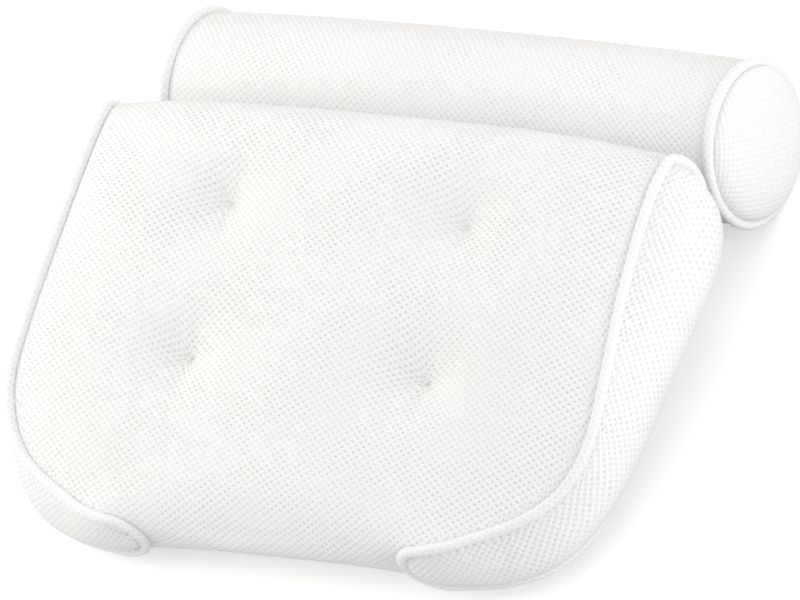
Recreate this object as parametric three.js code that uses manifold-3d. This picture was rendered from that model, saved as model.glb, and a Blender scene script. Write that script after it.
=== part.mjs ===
// Bath pillow: a wedge-shaped back cushion with four sewn tufts, and a head roll sewn behind it.
// The cover is white spacer mesh with piped seams, and suction cups hold the underside to the tub.
// Units are millimetres. X is the width, Y runs from the front edge to the head roll, Z is up.
import * as THREE from 'three';
import { mergeVertices } from 'three/addons/utils/BufferGeometryUtils.js';
import Module from 'manifold-3d';

const wasm = await Module();
wasm.setup();

// Cover and fit
const coverThickness = 3;        // spacer mesh
const fitGap = 0.4;              // between pieces that touch
const pipingRadius = 2.5;        // covered cord in the seams
const coreSeamDepth = 5;         // least depth of the fill's edges below the middle of the piping
const seamAllowance = 4.3;       // panel edges stay this far from the middle of the piping

// Back cushion, measured square to its flat underside
const seamHalfWidth = 184;       // widest point of a side seam, from the middle
const seamDepth = 232;           // from the top of the back wall to the front edge
const rearSeamHeight = 69;       // upper side seam above the underside, at the head end
const frontSeamHeight = 41;      // the same at the front corners
const rearSeamBow = 6.4;         // how far the back wall's side seams bow out
const rearHemInset = 7;          // lower rear edge, in from the top of the back wall
const lowerSeamRise = 8;         // lower side seam above the underside, at the front
const tongueHalfSpacing = 101.5; // centre of each gusset's round end, from the middle
const tongueRadius = 17.5;
const tongueHeight = 25.5;       // centre of the round end above the underside
const faceCrown = 11.2;          // swell of the face above its side seams
const frontCrown = 3;            // swell of the front edge between the gussets
const backCrown = 7.4;           // swell of the back wall
const gussetSwell = 24;          // swell of each side gusset, about halfway along

// Tufts
const tuftHalfSpacing = 75;
const tuftRearDepth = 55;        // rear row, from the top of the back wall
const tuftRowSpacing = 85;
const tuftSink = 13;             // depth of a tuft below the face
const tuftReach = 21;            // how far a tuft pulls the face in around it
const tieRadius = 1.2;           // thread bundle that holds a tuft down
const tieTackRadius = 3;         // bar tack at each end of a tie
const tieTackThickness = 1;

// Head roll
const rollHalfLength = 173;      // middle to the middle of the end piping
const rollSeamRadius = 42.5;
const rollCrown = 4;             // swell of the roll between its ends
const rollEndSwell = 15;

// Hinge web between the cushion's lower rear edge and the roll
const webHalfLength = 150;
const webThickness = 3;
const webTuckDepth = 2.6;        // part of the web sewn in behind the edge

// Suction cups and the tabs that carry them
const cupRadius = 22;
const cupRimWidth = 1.8;
const cupRimThickness = 0.9;
const cupHollow = 3.4;
const cupBodyHeight = 7.8;       // rim to shoulder
const cupShoulderRadius = 9;
const cupNeckRadius = 3.8;
const cupHeadRadius = 6.6;
const cupHeadThickness = 2;
const cupHeadRoom = 0.5;         // play of the head in its tab
const tabRadius = 16;
const tabWall = 1.6;
const tabPocketRadius = 9.5;
const cupHalfSpacing = 122;
const cupFrontDepth = 169;       // front row, from the top of the back wall
const cupRearDepth = 58;

// The roll props the back of the cushion up, so its underside slopes down to the front cups
const propAngle = THREE.MathUtils.degToRad(9);

// Outlines, as shares of the sizes above
// Upper side seam from the head end: half width, depth, and rise from front to rear seam height
const upperSeamShares = [
  [0.966, -0.012, 0.72], [0.966, 0.0, 0.86], [0.964, 0.05, 0.98], [0.964, 0.14, 1.0],
  [0.976, 0.35, 0.84], [0.994, 0.55, 0.56], [1.0, 0.68, 0.33], [0.976, 0.76, 0.14],
  [0.93, 0.825, 0.02], [0.86, 0.88, -0.02], [0.777, 0.92, -0.02], [0.695, 0.955, 0.02],
  [0.625, 0.985, 0.06],
];
// Lower side seam from the head end: half width, depth, and share of its rise at the front
const lowerSeamShares = [
  [0.945, 0.1, 0.3], [0.955, 0.22, 0.2], [0.965, 0.45, 0.18], [0.97, 0.64, 0.2],
  [0.955, 0.765, 0.3], [0.92, 0.86, 0.45], [0.86, 0.925, 0.6], [0.785, 0.962, 0.75],
  [0.7, 0.985, 0.88], [0.62, 0.995, 0.97],
];
// Lower rear corner: half width, and share of the lower seam's rise
const hemCornerShares = [0.935, 0.4];
// Side seam up the back wall: half width, share of the bow, and share of the rear seam height
const rearSeamShares = [[0.956, 0.05, 0.2], [0.962, 0.75, 0.42], [0.965, 1.0, 0.66]];
// Middle line over the face: depth, and height as a share from front to rear seam height
const faceLineShares = [
  [0.01, 0.93], [0.075, 0.985], [0.16, 1.0], [0.35, 0.86], [0.58, 0.53], [0.74, 0.24], [0.88, -0.07],
];
// Middle line of the underside: depth
const undersideLineShares = [0.3, 0.6, 0.81, 0.85];
// Half of the front edge's height: share of the face's crown and of the lower seam's rise in it
const frontCrownShare = 0.5;
const frontRiseShare = 0.67;
const frontArcAngles = [60, 30, 0, -30, -60].map(THREE.MathUtils.degToRad);
// Middle line up the back wall: share of its swell, and share of the rear seam height
const backLineShares = [[0.55, 0.12], [0.8, 0.26], [0.97, 0.45], [1.0, 0.68], [0.88, 0.87]];

// Small steps for slopes, and how near to a seam a slope is still taken
const runStepShare = 0.01;
const loopStepShare = 0.004;
const nearSeamShare = 0.985;
const nearEdgeShare = 0.96;
const acrossStep = tuftReach / 20;
const gussetMiddleShare = 0.5;
const tongueRoomShare = 0.006;   // the gusset panel stops short of the tip of its round end

// Grid of the sewn panels: shares along each seam, and across from a tuft line to the seam
const alongShares = [
  0.05, 0.13, 0.21, 0.29, 0.37, 0.45, 0.53, 0.6, 0.66, 0.72, 0.78, 0.84, 0.89, 0.94,
];
const wallShares = [0, 0.25, 0.5, 0.75, 1];
const topCrownShare = 0.45;      // part of the face's crown that the top of the back wall has
const betweenTuftShares = [0, 0.37, 0.7, 1];
const besideTuftShares = [0.2, 0.5, 0.8, 1];
const faceCrownPower = 2.7;      // how flat the crown runs across the face
const undersideCrownPower = 6;   // the underside is flatter still
const crownPower = 0.62;         // how steeply the crown meets a seam
const wallTurnShare = 0.4;       // part of the back wall, and of the front edge, that turns flatter
const sweepShare = 0.15;         // part of the face over which the rows take their own sweep
const tuftFadeShare = 0.08;      // part of the face by which the tufts' pull has faded in
const gussetPower = 0.6;         // how fully a gusset swells from its lower seam
const gussetTopPower = 0.75;     // it leaves its upper seam more gently
const gussetSagShare = 0.8;      // below 1 the swell hangs low
const gussetFrontShare = 0.42;    // part of the swell that the front corner has
const gussetFrontStartShare = 0.05; // where along the gusset the swell begins to drop
const gussetFrontEndShare = 0.85;   // where it reaches the front corner's
const rearEndPower = 18;         // how short its swell is at the head end
const tongueEndPower = 6;        // and at the round end
const bowPower = 4;              // how quickly it leaves the bow of the back wall

const finishes = {
  cover: { color: 0xf4f3f1, roughness: 0.9, metalness: 0 },
  fill: { color: 0xfafafa, roughness: 1, metalness: 0 },
  thread: { color: 0xffffff, roughness: 0.7, metalness: 0 },
  tab: { color: 0xf0f0ee, roughness: 0.8, metalness: 0 },
  cup: { color: 0xdfe6e8, roughness: 0.25, metalness: 0 },
};

const lerp = THREE.MathUtils.lerp;
const smoothstep = THREE.MathUtils.smoothstep;
const V = (x, y, z) => new THREE.Vector3(x, y, z);

// Closed solid from loose triangles, with the shared corners merged
function solidFrom(triangles) {
  const geometry = new THREE.BufferGeometry();
  const places = triangles.flatMap((p) => [p.x, p.y, p.z]);
  geometry.setAttribute('position', new THREE.Float32BufferAttribute(places, 3));
  const merged = mergeVertices(geometry, fitGap / 1000);
  const index = Array.from(merged.index.array);
  const kept = [];
  for (let i = 0; i < index.length; i += 3) {
    const [a, b, c] = index.slice(i, i + 3);
    if (a !== b && b !== c && c !== a) kept.push(a, b, c);
  }
  merged.setIndex(kept);
  return merged;
}

// Two triangles for each cell of a grid of points, facing the way that turns from rows to columns
function gridTriangles(grid, flipped = false) {
  const triangles = [];
  for (let i = 0; i + 1 < grid.length; i += 1) {
    for (let j = 0; j + 1 < grid[i].length; j += 1) {
      const [a, b, c, d] = [grid[i][j], grid[i + 1][j], grid[i + 1][j + 1], grid[i][j + 1]];
      if (flipped) triangles.push(a, c, b, a, d, c);
      else triangles.push(a, b, c, a, c, d);
    }
  }
  return triangles;
}

// Sheet with thickness: outer and inner grids joined round the four edges
function sheetSolid(outer, inner) {
  const last = outer.length - 1;
  const firstColumn = outer.map((row, i) => [row[0], inner[i][0]]);
  const lastColumn = outer.map((row, i) => [row[row.length - 1], inner[i][row.length - 1]]);
  return solidFrom([
    ...gridTriangles(outer),
    ...gridTriangles(inner, true),
    ...gridTriangles([outer[0], inner[0]], true),
    ...gridTriangles([outer[last], inner[last]]),
    ...gridTriangles(firstColumn, true),
    ...gridTriangles(lastColumn),
  ]);
}

function toManifold(geometry) {
  const bare = new THREE.BufferGeometry();
  bare.setAttribute('position', geometry.getAttribute('position').clone());
  if (geometry.index) bare.setIndex(geometry.index.clone());
  const merged = mergeVertices(bare, fitGap / 1000);
  return new wasm.Manifold(new wasm.Mesh({
    numProp: 3,
    vertProperties: new Float32Array(merged.getAttribute('position').array),
    triVerts: new Uint32Array(merged.index.array),
  }));
}

function fromManifold(manifold) {
  const { vertProperties, triVerts } = manifold.getMesh();
  const geometry = new THREE.BufferGeometry();
  geometry.setAttribute('position', new THREE.BufferAttribute(new Float32Array(vertProperties), 3));
  geometry.setIndex(new THREE.BufferAttribute(new Uint32Array(triVerts), 1));
  return geometry;
}

// Seams of the cushion

const seamHeight = (rise) => lerp(frontSeamHeight, rearSeamHeight, rise);
const tongueArc = [90, 60, 30, 0].map(THREE.MathUtils.degToRad);
const tonguePoint = (angle, side) => V(
  tongueHalfSpacing - tongueRadius * Math.cos(angle),
  -seamDepth,
  tongueHeight + side * tongueRadius * Math.sin(angle),
);
const [hemWidthShare, hemRiseShare] = hemCornerShares;
const hemCorner = V(seamHalfWidth * hemWidthShare, -rearHemInset, lowerSeamRise * hemRiseShare);
const upperSeamPoints = upperSeamShares.map(
  ([width, depth, rise]) => V(seamHalfWidth * width, -seamDepth * depth, seamHeight(rise)),
);
const rearSeam = new THREE.CatmullRomCurve3([
  hemCorner,
  ...rearSeamShares.map(([width, bow, height]) => V(
    seamHalfWidth * width,
    lerp(-rearHemInset, rearSeamBow, bow),
    rearSeamHeight * height,
  )),
  upperSeamPoints[0],
]);
const upperSeam = new THREE.CatmullRomCurve3([
  ...upperSeamPoints,
  ...tongueArc.map((angle) => tonguePoint(angle, 1)),
]);
const lowerSeam = new THREE.CatmullRomCurve3([
  hemCorner,
  ...lowerSeamShares.map(([width, depth, rise]) => V(
    seamHalfWidth * width,
    -seamDepth * depth,
    lowerSeamRise * rise,
  )),
  ...tongueArc.map((angle) => tonguePoint(angle, -1)),
]);

// Middle line of the cushion, from the hem up the back wall, over the face and back underneath

const frontRadius = (
  frontSeamHeight + faceCrown * frontCrownShare - lowerSeamRise * frontRiseShare
) / 2;
const frontEdgeReach = seamDepth + frontCrown;
const frontArcPoint = (angle) => V(
  0,
  -frontEdgeReach + frontRadius - frontRadius * Math.cos(angle),
  tongueHeight + frontRadius * Math.sin(angle),
);
const topOfBack = V(0, rearSeamBow, rearSeamHeight);
const hemLine = V(0, -rearHemInset, 0);
const backLine = new THREE.CatmullRomCurve3([
  hemLine,
  ...backLineShares.map(([swell, height]) => V(
    0,
    lerp(-rearHemInset, rearSeamBow + backCrown, swell),
    rearSeamHeight * height,
  )),
  V(0, topOfBack.y, topOfBack.z + faceCrown * topCrownShare),
]);
const faceLine = new THREE.CatmullRomCurve3([
  V(0, topOfBack.y, topOfBack.z + faceCrown * topCrownShare),
  ...faceLineShares.map(([depth, rise]) => V(0, -seamDepth * depth, seamHeight(rise) + faceCrown)),
  ...frontArcAngles.slice(0, 3).map(frontArcPoint),
]);
const undersideLine = new THREE.CatmullRomCurve3([
  hemLine,
  ...undersideLineShares.map((depth) => V(0, -seamDepth * depth, 0)),
  ...frontArcAngles.slice(2).reverse().map(frontArcPoint),
]);

// The wrap is one closed loop of rows: up the back wall (0 to 1), over the face (1 to 2) and
// back along the underside (2 to 3). Each row runs across from the middle line to a side seam.
function alongLoop(curves, t) {
  const [back, face, underside] = curves;
  if (t <= 1) return back.getPointAt(t);
  if (t <= 2) return face.getPointAt(t - 1);
  return underside.getPointAt(3 - t);
}
const seamPoint = (t) => alongLoop([rearSeam, upperSeam, lowerSeam], t);
const middlePoint = (t) => alongLoop([backLine, faceLine, undersideLine], t);

// How far the tufts pull the face in at a place
const tuftPower = 1.5;           // how sharply a tuft pinches
function tuftPull(x, y) {
  return [tuftRearDepth, tuftRearDepth + tuftRowSpacing].reduce((sum, depth) => {
    const away = Math.hypot(Math.abs(x) - tuftHalfSpacing, y + depth) / tuftReach;
    return sum + tuftSink * Math.exp(-Math.pow(away, tuftPower));
  }, 0);
}

function wrapPoint(t, x) {
  const seam = seamPoint(t);
  const middle = middlePoint(t);
  const across = Math.min(1, Math.abs(x) / seam.x);
  const flatness = t <= 1
    ? 1 - smoothstep(t, 0, wallTurnShare)
    : smoothstep(t, 2, 2 + wallTurnShare);
  const power = lerp(faceCrownPower, undersideCrownPower, flatness);
  const swell = Math.pow(1 - Math.pow(across, power), crownPower);
  const ownSweep = smoothstep(t, 1, 1 + sweepShare) * (1 - smoothstep(t, 3 - wallTurnShare, 3));
  const sweep = lerp(swell, 1 - across * across, ownSweep);
  const y = lerp(seam.y, middle.y, sweep);
  const onFace = smoothstep(t, 1, 1 + tuftFadeShare) * (1 - smoothstep(t, 2 - tuftFadeShare, 2));
  return V(x, y, lerp(seam.z, middle.z, swell) - onFace * tuftPull(x, y));
}

// Right gusset, lower seam (v = 0) to upper, from the back wall (s = 0) to its round end (s = 1)
function gussetPoint(v, s) {
  const low = seamPoint(3 - s);
  const high = seamPoint(1 + s);
  const place = low.clone().lerp(high, v);
  const rearBow = seamPoint(v).sub(seamPoint(0).lerp(seamPoint(1), v));
  place.addScaledVector(rearBow, Math.pow(1 - s, bowPower));
  const ahead = Math.min(1, s + runStepShare);
  const behind = Math.max(0, s - runStepShare);
  const run = seamPoint(1 + ahead).add(seamPoint(3 - ahead))
    .sub(seamPoint(1 + behind)).sub(seamPoint(3 - behind));
  const outward = V(-run.y, run.x, 0).normalize();
  const ends = (1 - Math.pow(1 - s, rearEndPower)) * Math.sqrt(1 - Math.pow(s, tongueEndPower));
  const front = lerp(1, gussetFrontShare, smoothstep(s, gussetFrontStartShare, gussetFrontEndShare));
  const bulge = Math.max(0, Math.sin(Math.PI * Math.pow(v, gussetSagShare)));
  const swell = ends * front * Math.pow(bulge, lerp(gussetPower, gussetTopPower, v));
  return place.addScaledVector(outward, gussetSwell * swell);
}

// Outward normal of a surface of two parameters
function normalOf(surface, a, b, stepA, stepB, [lowA, highA], [lowB, highB]) {
  const alongA = surface(Math.min(highA, a + stepA), b).sub(surface(Math.max(lowA, a - stepA), b));
  const alongB = surface(a, Math.min(highB, b + stepB)).sub(surface(a, Math.max(lowB, b - stepB)));
  return alongA.cross(alongB).normalize();
}
function wrapNormal(t, x) {
  const reach = seamPoint(t).x * nearSeamShare;
  const place = Math.max(-reach, Math.min(reach, x));
  return normalOf(wrapPoint, t, place, loopStepShare, acrossStep, [0, 3], [-reach, reach]);
}
const gussetNormal = (v, s) => normalOf(
  gussetPoint,
  lerp(1 - nearEdgeShare, nearEdgeShare, v),
  Math.min(s, nearSeamShare),
  runStepShare,
  loopStepShare,
  [1 - nearSeamShare, nearSeamShare],
  [0, nearSeamShare],
);

// Point moved in from every surface that meets there by the same depth
function insetBy(place, normals, depth) {
  const [first, second, third] = normals;
  if (!second) return place.clone().addScaledVector(first, -depth);
  if (!third) {
    const shift = first.clone().add(second).multiplyScalar(1 / (1 + first.dot(second)));
    return place.clone().addScaledVector(shift, -depth);
  }
  const planes = new THREE.Matrix3().set(
    first.x, first.y, first.z, second.x, second.y, second.z, third.x, third.y, third.z,
  );
  const shift = V(1, 1, 1).applyMatrix3(planes.invert());
  return place.clone().addScaledVector(shift, -depth);
}
const mirrored = (p) => V(-p.x, p.y, p.z);

// How near the sewn panels come to the piping

const trackSteps = 240;
const trackOf = (from, to) => Array.from(
  { length: trackSteps + 1 },
  (_, i) => seamPoint(lerp(from, to, i / trackSteps)),
);
const wholeSeam = trackOf(0, 3);
const rearPart = trackOf(0, 1);
const upperPart = trackOf(1, 2);
const lowerPart = trackOf(2, 3);

const clearSearchSteps = 12;
const tuftSearchSteps = 30;

// Last value on the way from inside to edge that still clears the piping of a seam
function clearOfSeam(surface, inside, edge, track = wholeSeam) {
  let near = inside;
  let far = edge;
  for (let i = 0; i < clearSearchSteps; i += 1) {
    const middle = (near + far) / 2;
    const away = Math.min(...track.map((p) => p.distanceTo(surface(middle))));
    if (away > seamAllowance) near = middle;
    else far = middle;
  }
  return near;
}

// Columns of a row of the wrap, from edge to edge
function wrapPlaces(t) {
  const reach = clearOfSeam((x) => wrapPoint(t, x), tuftHalfSpacing, seamPoint(t).x);
  const half = [
    ...betweenTuftShares.map((share) => tuftHalfSpacing * share),
    ...besideTuftShares.map((share) => lerp(tuftHalfSpacing, reach, share)),
  ];
  return [...half.slice(1).reverse().map((x) => -x), ...half];
}

// Ends of the gusset panel, as shares of the way along it
const gussetStart = clearOfSeam(
  (s) => gussetPoint(gussetMiddleShare, s), gussetMiddleShare, 0, rearPart,
);
const gussetEnd = clearOfSeam((s) => gussetPoint(gussetMiddleShare, s), gussetMiddleShare, 1)
  - tongueRoomShare;
const gussetPlaceShares = [gussetStart, ...alongShares, gussetEnd];
const rowShares = [0, ...gussetPlaceShares, 1];

// Rows of the back panel, then of the wrap over the face and back along the underside
const backEdgeShare = seamAllowance / backLine.getLength();
const hemEdgeShare = seamAllowance / undersideLine.getLength();
const backGapShare = fitGap / 2 / backLine.getLength();
const faceGapShare = fitGap / 2 / faceLine.getLength();
const backPanelRows = wallShares.map((share) => lerp(backEdgeShare, 1 - backGapShare, share));
const wrapRows = [
  ...rowShares.map((share) => 1 + Math.max(faceGapShare, share)),
  ...rowShares.slice(2, -1).reverse().map((share) => 3 - share),
  3 - hemEdgeShare,
];

// Columns of the gusset, each a list of its heights, with the share along the gusset
const gussetColumns = gussetPlaceShares.map((s) => {
  const low = clearOfSeam((v) => gussetPoint(v, s), gussetMiddleShare, 0, lowerPart);
  const high = clearOfSeam((v) => gussetPoint(v, s), gussetMiddleShare, 1, upperPart);
  return { s, heights: wallShares.map((v) => lerp(low, high, v)) };
});

// Point moved off the seam where it lies nearer than the panels may
function clearedPlace(place) {
  const nearest = wholeSeam.reduce(
    (best, p) => (p.distanceTo(place) < best.distanceTo(place) ? p : best),
  );
  const away = place.clone().sub(nearest);
  if (away.length() >= seamAllowance) return place;
  return nearest.clone().addScaledVector(away.normalize(), seamAllowance);
}
const insetGusset = (depth) => wallShares.map((_, i) => gussetColumns.map(({ s, heights }) => (
  insetBy(clearedPlace(gussetPoint(heights[i], s)), [gussetNormal(heights[i], s)], depth)
)));

// Both edges of the seam along the top of the back wall are cut on the same slope
const slopeRow = (t) => (Math.abs(t - 1) < 2 * backGapShare ? 1 : t);
const insetWrap = (rows, depth) => rows.map((t) => wrapPlaces(t).map((x) => (
  insetBy(wrapPoint(t, x), [wrapNormal(slopeRow(t), x)], depth)
)));

// Sewn panels: each stops short of the piping

function panelOf(insetRows) {
  return sheetSolid(insetRows(0), insetRows(coverThickness));
}
const cushionWrap = () => panelOf((depth) => insetWrap(wrapRows, depth));
const cushionBackPanel = () => panelOf((depth) => insetWrap(backPanelRows, depth));
function cushionGusset(side) {
  if (side > 0) return panelOf(insetGusset);
  const flip = (grid) => grid.map((row) => row.map(mirrored));
  return sheetSolid(flip(insetGusset(coverThickness)), flip(insetGusset(0)));
}

// Fill of the cushion: the covered form less its cover, with a hole for each tie

const coreInset = coverThickness + fitGap;

// Edge of the fill along a seam, where it also stays clear of the piping
function coreSeamCorner(t, v, s) {
  const normals = [wrapNormal(t, seamPoint(t).x), gussetNormal(v, s)];
  if (t === 0) normals.push(wrapNormal(3, seamPoint(3).x));
  const seam = seamPoint(t);
  const inward = insetBy(seam, normals, coreInset).sub(seam);
  const depth = Math.max(inward.length(), coreSeamDepth);
  return seam.addScaledVector(inward.normalize(), depth);
}

function coreRow(t, v, s) {
  const corner = coreSeamCorner(t, v, s);
  const inner = wrapPlaces(t).map((x) => {
    const normals = [wrapNormal(t, x)];
    if (t === 0) normals.push(wrapNormal(3, x));
    return insetBy(wrapPoint(t, x), normals, coreInset);
  });
  return [mirrored(corner), ...inner, corner];
}

function cushionCoreForm() {
  const backRows = [0, ...backPanelRows.slice(0, -1)].map((t) => coreRow(t, t, 0));
  const faceRows = rowShares.map((share) => coreRow(1 + share, 1, share));
  const underRows = rowShares.slice(1, -1).reverse().map((share) => coreRow(3 - share, 0, share));
  const last = rowShares.length - 1;
  const sideEdge = (row) => row[row.length - 1];
  const lowEdge = [...underRows, backRows[0]].reverse().map(sideEdge);
  const highEdge = faceRows.map(sideEdge);
  const backEdge = [...backRows.slice(1), faceRows[0]].map(sideEdge);
  const gussetRows = [
    [...lowEdge, highEdge[last]],
    ...insetGusset(coreInset).map((row, i) => [backEdge[i], ...row, highEdge[last]]),
    highEdge,
  ];
  return solidFrom([
    ...gridTriangles([...backRows, ...faceRows, ...underRows, backRows[0]]),
    ...gridTriangles(gussetRows),
    ...gridTriangles(gussetRows.map((row) => row.map(mirrored)), true),
  ]);
}

// Each tuft's place on the face, with the height of the face there
function tuftPlaces() {
  const rows = { rear: tuftRearDepth, front: tuftRearDepth + tuftRowSpacing };
  return Object.entries(rows).flatMap(([row, depth]) => {
    let low = 1;
    let high = 2;
    for (let i = 0; i < tuftSearchSteps; i += 1) {
      const middle = (low + high) / 2;
      if (wrapPoint(middle, tuftHalfSpacing).y > -depth) low = middle;
      else high = middle;
    }
    const face = wrapPoint(low, tuftHalfSpacing);
    return [['left', -1], ['right', 1]].map(([side, sign]) => ({
      name: `${row}_${side}`,
      place: V(sign * face.x, face.y, 0),
      top: face.z - coverThickness - fitGap,
    }));
  });
}
const tieFoot = coverThickness + fitGap;
const tieSides = 10;

// Upright round piece from a profile of radius and height
function turned(profile, sides) {
  const points = profile.map(([radius, height]) => new THREE.Vector2(radius, height));
  return mergedLathe(points, sides).rotateX(Math.PI / 2);
}

function mergedLathe(points, sides) {
  const lathe = new THREE.LatheGeometry(points, sides);
  const bare = new THREE.BufferGeometry();
  bare.setAttribute('position', lathe.getAttribute('position'));
  bare.setIndex(lathe.index);
  const loose = bare.toNonIndexed();
  const position = loose.getAttribute('position');
  const corner = (_, i) => V(0, 0, 0).fromBufferAttribute(position, i);
  return solidFrom(Array.from({ length: position.count }, corner));
}

function tieForm(top) {
  return turned([
    [0, tieFoot],
    [tieTackRadius, tieFoot],
    [tieTackRadius, tieFoot + tieTackThickness],
    [tieRadius, tieFoot + tieTackThickness],
    [tieRadius, top - tieTackThickness],
    [tieTackRadius, top - tieTackThickness],
    [tieTackRadius, top],
    [0, top],
  ], tieSides);
}

function tieHole(top) {
  const recess = tieTackRadius + fitGap;
  const hole = tieRadius + fitGap;
  return turned([
    [0, tieFoot - tuftSink],
    [recess, tieFoot - tuftSink],
    [recess, tieFoot + tieTackThickness + fitGap],
    [hole, tieFoot + tieTackThickness + fitGap],
    [hole, top - tieTackThickness - fitGap],
    [recess, top - tieTackThickness - fitGap],
    [recess, top + tuftSink],
    [0, top + tuftSink],
  ], tieSides);
}

function cushionCore() {
  const holes = tuftPlaces().map(({ place, top }) => (
    toManifold(tieHole(top).translate(place.x, place.y, place.z))
  ));
  return fromManifold(holes.reduce((core, hole) => core.subtract(hole), toManifold(cushionCoreForm())));
}

const pipingSides = 8;
const pipingSteps = 72;

// Round cord along a path
function cordForm(path, steps) {
  const section = new THREE.Shape();
  section.absarc(0, 0, pipingRadius, 0, Math.PI * 2);
  return new THREE.ExtrudeGeometry(section, {
    steps, curveSegments: pipingSides / 2, extrudePath: path, bevelEnabled: false,
  });
}

// The piping starts and ends at the lower rear corner, where its ends meet
function cushionPiping(side) {
  const startShare = (fitGap / 2 + pipingRadius) / rearSeam.getLength();
  const endShare = (fitGap / 2 + pipingRadius) / lowerSeam.getLength();
  const places = Array.from({ length: trackSteps + 1 }, (_, i) => {
    const p = seamPoint(lerp(startShare, 3 - endShare, i / trackSteps));
    return side > 0 ? p : mirrored(p);
  });
  return cordForm(new THREE.CatmullRomCurve3(places), pipingSteps);
}

// Suction cups: a headed rubber cup, held by an eyelet in a domed tab sewn to the underside

const pocketDepth = cupHeadThickness + 2 * cupHeadRoom;
const tabDrop = fitGap + pocketDepth + tabWall;
const shoulderDrop = tabDrop + cupHeadRoom;
const rimDrop = shoulderDrop + cupBodyHeight;
const eyeletRadius = cupNeckRadius + cupHeadRoom;
const cupSides = 16;
const flareShares = [[0.25, 0.08], [0.5, 0.24], [0.78, 0.58], [1, 1]];
const hollowShares = [[0.72, 0.62], [0.38, 0.9], [0, 1]];

function cupTab() {
  return turned([
    [tabPocketRadius, fitGap],
    [tabPocketRadius, fitGap + pocketDepth],
    [eyeletRadius, fitGap + pocketDepth],
    [eyeletRadius, tabDrop],
    [tabPocketRadius + tabWall, tabDrop],
    [tabRadius, fitGap + tabWall],
    [tabRadius, fitGap],
    [tabPocketRadius, fitGap],
  ].map(([radius, drop]) => [radius, -drop]), cupSides);
}

function suctionCup() {
  const flareHeight = cupBodyHeight - cupRimThickness;
  return turned([
    [0, fitGap + cupHeadRoom],
    [cupHeadRadius, fitGap + cupHeadRoom],
    [cupHeadRadius, fitGap + cupHeadRoom + cupHeadThickness],
    [cupNeckRadius, fitGap + cupHeadRoom + cupHeadThickness],
    [cupNeckRadius, shoulderDrop],
    [cupShoulderRadius, shoulderDrop],
    ...flareShares.map(([out, down]) => [
      lerp(cupShoulderRadius, cupRadius, out),
      shoulderDrop + flareHeight * down,
    ]),
    [cupRadius, rimDrop],
    [cupRadius - cupRimWidth, rimDrop],
    ...hollowShares.map(([out, up]) => [
      (cupRadius - cupRimWidth) * out,
      rimDrop - cupHollow * up,
    ]),
  ].reverse().map(([radius, drop]) => [radius, -drop]), cupSides);
}

const cupPlaces = Object.entries({ front: cupFrontDepth, rear: cupRearDepth }).flatMap(
  ([row, depth]) => [['left', -1], ['middle', 0], ['right', 1]].map(([column, sign]) => ({
    name: `${row}_${column}`,
    place: V(sign * cupHalfSpacing, -depth, 0),
  })),
);

// The cushion leans back on the roll, so that the front cups just meet the surface
const cushion = new THREE.Group();
cushion.rotation.x = propAngle;
cushion.position.z = (cupFrontDepth + cupRadius) * Math.sin(propAngle) + rimDrop * Math.cos(propAngle);
cushion.updateMatrixWorld();

// Head roll, turned about its own length

const rollRadius = rollSeamRadius + rollCrown;
const rollCrownAt = (x) => (
  rollCrown * Math.pow(Math.max(0, 1 - (x / rollHalfLength) ** 2), crownPower)
);
const rollPlaceShares = [0, 0.35, 0.65, 0.87, 1];
const rollEndShares = [0, 0.4, 0.7, 0.9, 1];
const rollEdge = rollHalfLength - seamAllowance;
const rollSides = 24;
const endPower = 0.5;            // how steeply an end cap leaves its piping
const webPlaceShares = [0, 0.4, 0.75, 1];
const webRowShares = [0, 0.5, 1];

// The roll lies on the surface and leans on the bulge of the cushion's back wall
const rollReach = rollRadius + fitGap;
const seatSearchSteps = 200;
const rollCentre = backLine.getSpacedPoints(seatSearchSteps).reduce((centre, place) => {
  const p = place.clone().applyMatrix4(cushion.matrixWorld);
  const above = Math.abs(p.z - rollRadius);
  if (above >= rollReach) return centre;
  return V(0, Math.max(centre.y, p.y + Math.sqrt(rollReach ** 2 - above ** 2)), rollRadius);
}, V(0, -Infinity, rollRadius));

// Profile of radius and distance along X, turned round the roll's axis
function rollTurned(profile) {
  const points = profile.map(([radius, x]) => new THREE.Vector2(radius, x));
  return mergedLathe(points, rollSides).rotateZ(-Math.PI / 2);
}
const bothWays = (places) => [...places.slice(1).reverse().map((x) => -x), ...places];

function rollWrap() {
  const places = bothWays(rollPlaceShares.map((share) => rollEdge * share));
  const outer = places.map((x) => [rollSeamRadius + rollCrownAt(x), x]);
  const inner = places.map((x) => [rollSeamRadius + rollCrownAt(x) - coverThickness, x]);
  return rollTurned([...inner.reverse(), ...outer, inner[0]]);
}

const endSwellAt = (radius) => (
  rollEndSwell * Math.pow(Math.max(0, 1 - (radius / rollSeamRadius) ** 2), endPower)
);

function rollEnd() {
  const radii = rollEndShares.map((share) => (rollSeamRadius - seamAllowance) * share);
  const outer = radii.map((radius) => [radius, rollHalfLength + endSwellAt(radius)]);
  const inner = outer.map(([radius, x]) => [radius, x - coverThickness]);
  return rollTurned([...inner, ...outer.reverse()]);
}

function rollCore() {
  const depth = coverThickness + fitGap;
  const radii = rollEndShares.slice(0, -1).map((share) => (rollSeamRadius - seamAllowance) * share);
  const end = radii.map((radius) => [radius, rollHalfLength + endSwellAt(radius) - depth]);
  const corner = [rollSeamRadius - depth, rollHalfLength - depth];
  const places = bothWays(rollPlaceShares.map((share) => rollEdge * share));
  const side = places.map((x) => [rollSeamRadius + rollCrownAt(x) - depth, x]);
  const otherEnd = [...end, corner].map(([radius, x]) => [radius, -x]);
  return rollTurned([...otherEnd, ...side.slice(1, -1), ...[...end, corner].reverse()]);
}

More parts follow.
